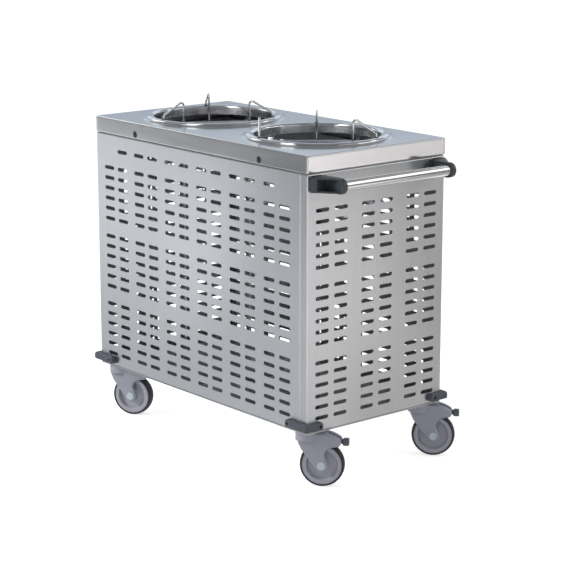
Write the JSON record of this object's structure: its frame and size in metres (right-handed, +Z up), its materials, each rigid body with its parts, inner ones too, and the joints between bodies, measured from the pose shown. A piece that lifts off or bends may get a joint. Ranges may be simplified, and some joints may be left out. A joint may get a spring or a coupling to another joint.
{
  "type": "plate dispenser",
  "caption": "Mobile catering trolley with sprung round wells that lift a stack of plates to the deck, slotted sheet-steel sides, a push handle and swivel casters.",
  "frame": {"origin": "on the floor, below the middle of the cabinet", "axes": "+X towards the handle end, -Y towards the long front side, +Z up"},
  "size_m": [1.087, 0.5705, 0.981],
  "materials": {
    "deck_steel": "satin",
    "panel_steel": "brushed",
    "polished_steel": "polished",
    "wire_steel": "bright drawn",
    "guide_wire": "bright drawn",
    "spring_wire": "bright drawn",
    "frame_steel": "mill",
    "fastener_steel": "plain",
    "black_plastic": "fine grain",
    "bumper_plastic": "fine grain",
    "fork_plastic": "satin",
    "rim_plastic": "satin",
    "tyre_rubber": "matte",
    "axle_cap": "satin",
    "pedal_plastic": "satin",
    "bush_plastic": "satin"
  },
  "bodies": {
    "cabinet": {"cover": "deck_steel", "front_panel": "panel_steel", "rear_panel": "panel_steel", "handle_end_panel": "panel_steel", "far_end_panel": "panel_steel", "well_ring_near": "polished_steel", "well_ring_far": "polished_steel", "handle_tube": "polished_steel", "well_frame_near": "wire_steel", "well_frame_far": "wire_steel", "carrier_springs_near": "spring_wire", "carrier_springs_far": "spring_wire", "base_plate": "frame_steel", "corner_posts": "frame_steel", "top_rails": "frame_steel", "bumper_screws": "fastener_steel", "handle_bolts": "fastener_steel", "caster_nuts": "fastener_steel", "caster_pivot_front_handle": "fastener_steel", "caster_pivot_rear_handle": "fastener_steel", "caster_pivot_front_far": "fastener_steel", "caster_pivot_rear_far": "fastener_steel", "cover_plugs": "black_plastic", "handle_bracket_front": "black_plastic", "handle_bracket_rear": "black_plastic", "bumper_front_handle": "bumper_plastic", "bumper_rear_handle": "bumper_plastic", "bumper_front_far": "bumper_plastic", "bumper_rear_far": "bumper_plastic", "guide_bushes_near": "bush_plastic", "guide_bushes_far": "bush_plastic"},
    "carrier_near": {"plate_carrier_near": "wire_steel", "carrier_glides_near": "bush_plastic"},
    "guide_near_1": {"plate_guide_near_1": "guide_wire"},
    "guide_near_2": {"plate_guide_near_2": "guide_wire"},
    "guide_near_3": {"plate_guide_near_3": "guide_wire"},
    "carrier_far": {"plate_carrier_far": "wire_steel", "carrier_glides_far": "bush_plastic"},
    "guide_far_1": {"plate_guide_far_1": "guide_wire"},
    "guide_far_2": {"plate_guide_far_2": "guide_wire"},
    "guide_far_3": {"plate_guide_far_3": "guide_wire"},
    "fork_front_handle": {"caster_fork_front_handle": "fork_plastic", "caster_axle_front_handle": "axle_cap"},
    "wheel_front_handle": {"caster_wheel_front_handle": "rim_plastic", "caster_tyre_front_handle": "tyre_rubber"},
    "brake_front_handle": {"brake_pedal_front_handle": "pedal_plastic"},
    "fork_rear_handle": {"caster_fork_rear_handle": "fork_plastic", "caster_axle_rear_handle": "axle_cap"},
    "wheel_rear_handle": {"caster_wheel_rear_handle": "rim_plastic", "caster_tyre_rear_handle": "tyre_rubber"},
    "brake_rear_handle": {"brake_pedal_rear_handle": "pedal_plastic"},
    "fork_front_far": {"caster_fork_front_far": "fork_plastic", "caster_axle_front_far": "axle_cap"},
    "wheel_front_far": {"caster_wheel_front_far": "rim_plastic", "caster_tyre_front_far": "tyre_rubber"},
    "fork_rear_far": {"caster_fork_rear_far": "fork_plastic", "caster_axle_rear_far": "axle_cap"},
    "wheel_rear_far": {"caster_wheel_rear_far": "rim_plastic", "caster_tyre_rear_far": "tyre_rubber"}
  },
  "joints": [
    {"name": "carrier_near_slide", "type": "slide", "parent": "cabinet", "child": "carrier_near", "axis": [0, 0, 1], "range_m": [-0.5, 0], "stiffness_N_per_m": 600, "springref_m": 0.08, "deforming": ["carrier_springs_near"]},
    {"name": "guide_near_1_turn", "type": "hinge", "parent": "cabinet", "child": "guide_near_1", "pos_m": [0.41028, 0.06362, 0.93], "axis": [0, 0, 1], "range_deg": [-62, 62]},
    {"name": "guide_near_2_turn", "type": "hinge", "parent": "cabinet", "child": "guide_near_2", "pos_m": [0.09302, 0.11956, 0.93], "axis": [0, 0, 1], "range_deg": [-62, 62]},
    {"name": "guide_near_3_turn", "type": "hinge", "parent": "cabinet", "child": "guide_near_3", "pos_m": [0.2032, -0.18317, 0.93], "axis": [0, 0, 1], "range_deg": [-122, 2]},
    {"name": "carrier_far_slide", "type": "slide", "parent": "cabinet", "child": "carrier_far", "axis": [0, 0, 1], "range_m": [-0.5, 0], "stiffness_N_per_m": 600, "springref_m": 0.08, "deforming": ["carrier_springs_far"]},
    {"name": "guide_far_1_turn", "type": "hinge", "parent": "cabinet", "child": "guide_far_1", "pos_m": [-0.07442, 0.093, 0.93], "axis": [0, 0, 1], "range_deg": [-62, 62]},
    {"name": "guide_far_2_turn", "type": "hinge", "parent": "cabinet", "child": "guide_far_2", "pos_m": [-0.39658, 0.093, 0.93], "axis": [0, 0, 1], "range_deg": [-62, 62]},
    {"name": "guide_far_3_turn", "type": "hinge", "parent": "cabinet", "child": "guide_far_3", "pos_m": [-0.2355, -0.186, 0.93], "axis": [0, 0, 1], "range_deg": [-62, 62]},
    {"name": "swivel_front_handle", "type": "hinge", "parent": "cabinet", "child": "fork_front_handle", "pos_m": [0.443, -0.211, 0.148], "axis": [0, 0, 1], "continuous": true},
    {"name": "roll_front_handle", "type": "hinge", "parent": "fork_front_handle", "child": "wheel_front_handle", "pos_m": [0.47421, -0.1829, 0.0625], "axis": [-0.6691, 0.7431, 0], "continuous": true},
    {"name": "brake_front_handle_press", "type": "hinge", "parent": "fork_front_handle", "child": "brake_front_handle", "pos_m": [0.49353, -0.1655, 0.1405], "axis": [-0.6691, 0.7431, 0], "range_deg": [0, 10]},
    {"name": "swivel_rear_handle", "type": "hinge", "parent": "cabinet", "child": "fork_rear_handle", "pos_m": [0.443, 0.211, 0.148], "axis": [0, 0, 1], "continuous": true},
    {"name": "roll_rear_handle", "type": "hinge", "parent": "fork_rear_handle", "child": "wheel_rear_handle", "pos_m": [0.47321, 0.24018, 0.0625], "axis": [-0.6947, 0.7193, 0], "continuous": true},
    {"name": "brake_rear_handle_press", "type": "hinge", "parent": "fork_rear_handle", "child": "brake_rear_handle", "pos_m": [0.49191, 0.25824, 0.1405], "axis": [-0.6947, 0.7193, 0], "range_deg": [0, 10]},
    {"name": "swivel_front_far", "type": "hinge", "parent": "cabinet", "child": "fork_front_far", "pos_m": [-0.443, -0.211, 0.148], "axis": [0, 0, 1], "continuous": true},
    {"name": "roll_front_far", "type": "hinge", "parent": "fork_front_far", "child": "wheel_front_far", "pos_m": [-0.40663, -0.19, 0.0625], "axis": [-0.5, 0.866, 0], "continuous": true},
    {"name": "swivel_rear_far", "type": "hinge", "parent": "cabinet", "child": "fork_rear_far", "pos_m": [-0.443, 0.211, 0.148], "axis": [0, 0, 1], "continuous": true},
    {"name": "roll_rear_far", "type": "hinge", "parent": "fork_rear_far", "child": "wheel_rear_far", "pos_m": [-0.41891, 0.2454, 0.0625], "axis": [-0.8192, 0.5736, 0], "continuous": true}
  ]
}
